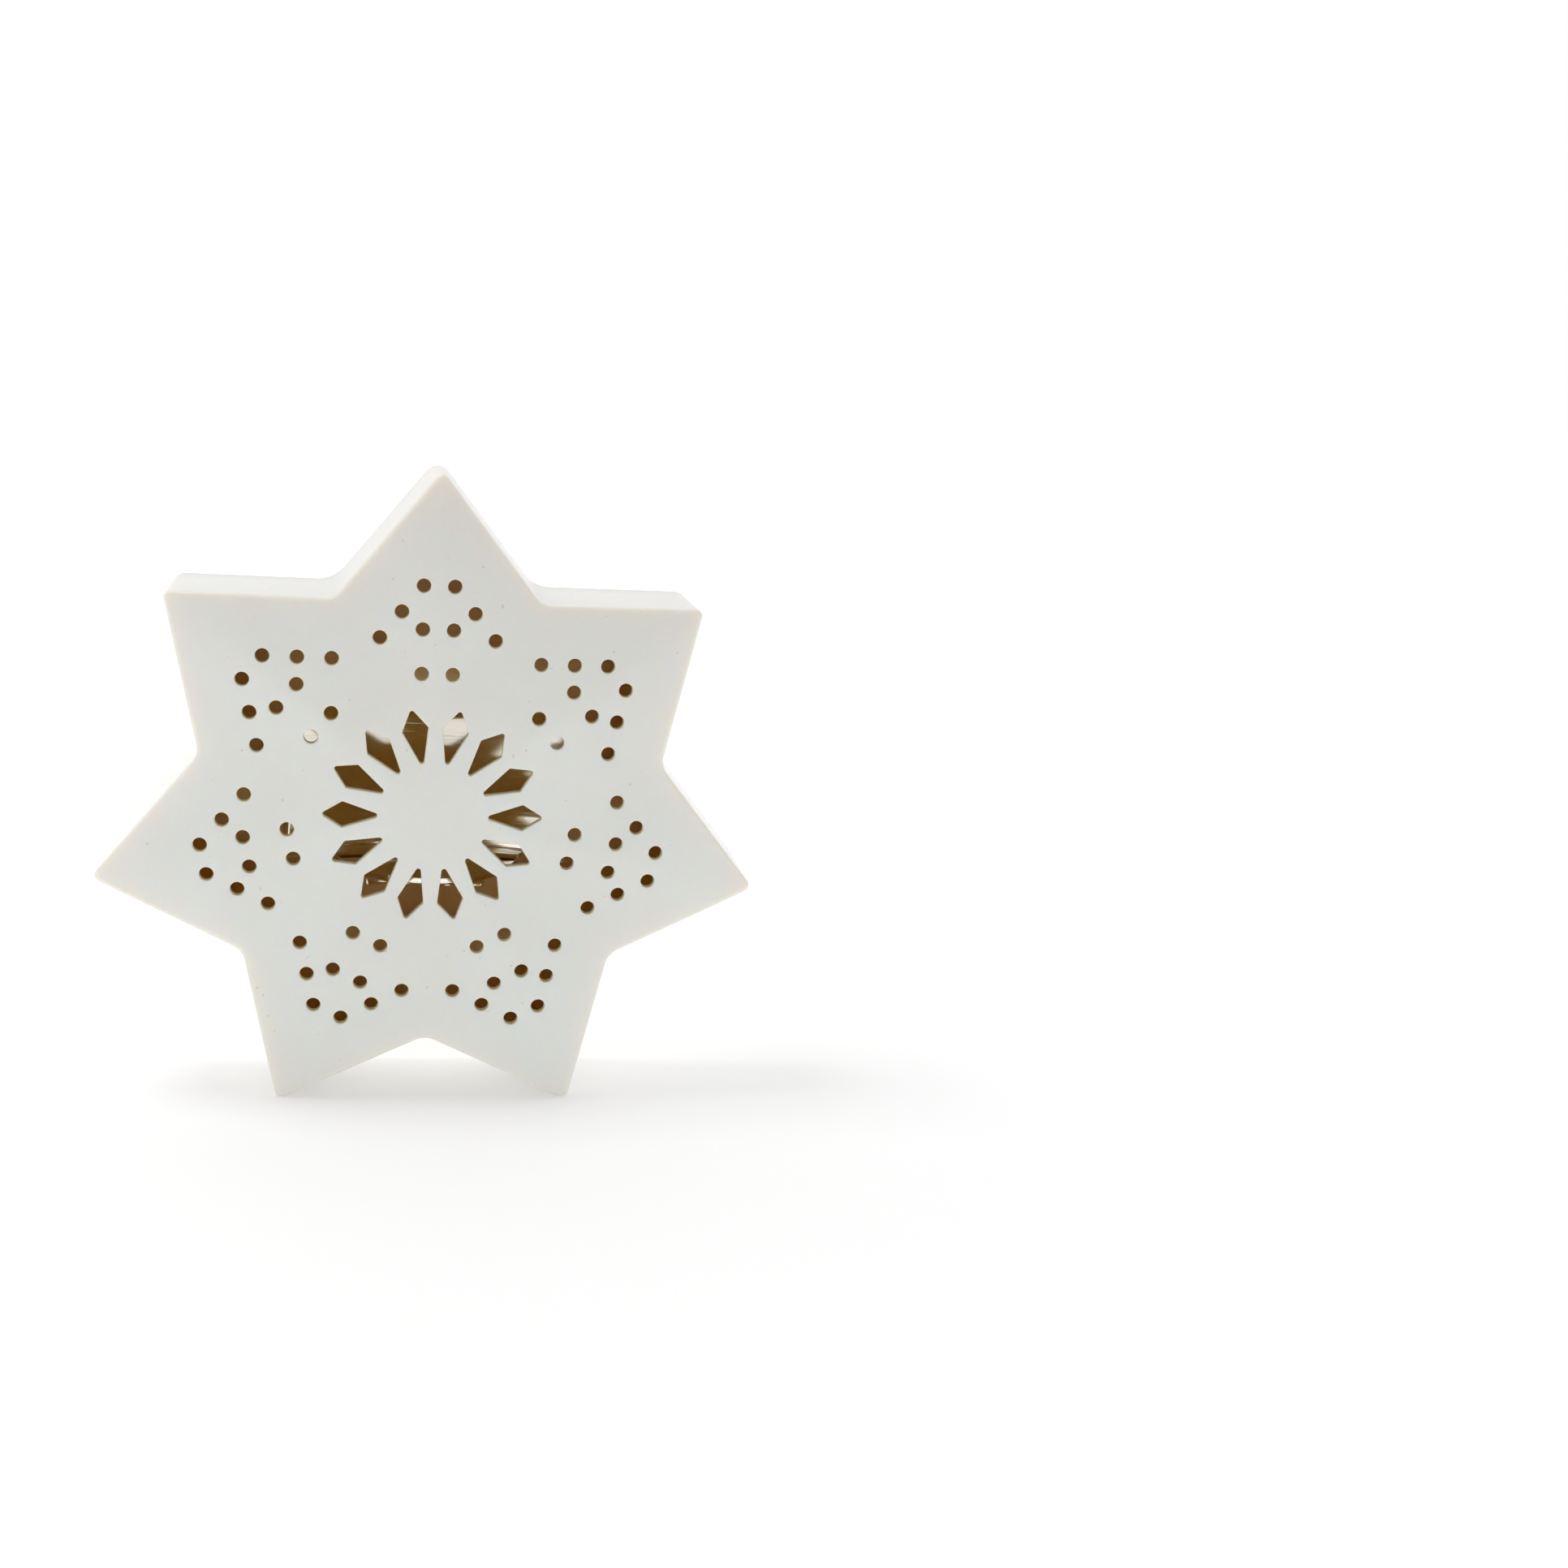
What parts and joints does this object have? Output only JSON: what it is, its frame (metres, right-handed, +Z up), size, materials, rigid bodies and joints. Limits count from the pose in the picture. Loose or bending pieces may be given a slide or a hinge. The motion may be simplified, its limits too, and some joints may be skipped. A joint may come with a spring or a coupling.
{
  "type": "star tealight holder",
  "caption": "Domed, pointed porcelain star with pierced light holes, open at the back, closed by a pull-out metal insert that carries a tealight in front of a polished reflector.",
  "frame": {"origin": "middle of the star's box, on the surface that its two lower points stand on", "axes": "+Z up through the top point, +X to the right seen from the front, the domed front looks along -Y and the back rim along +Y"},
  "size_m": [0.2126, 0.052, 0.2068],
  "materials": {
    "porcelain": "satin white glaze",
    "polished_sheet": "polished, champagne tinted",
    "satin_sheet": "satin, gold tinted",
    "brass": "plain brass",
    "spring_wire": "drawn spring wire"
  },
  "bodies": {
    "shell": {"star_shell": "porcelain"},
    "insert": {"back_plate": "satin_sheet", "reflector": "polished_sheet", "tealight_tray": "polished_sheet", "tray_rivet_left": "brass", "tray_rivet_right": "brass", "reflector_rivet": "brass", "wire_clamp_left": "brass", "wire_clamp_right": "brass", "spring_wire_left": "spring_wire", "spring_wire_right": "spring_wire"}
  },
  "joints": [
    {"name": "insert_slide", "type": "slide", "parent": "shell", "child": "insert", "axis": [0, 1, 0], "range_m": [0, 0.07]}
  ]
}
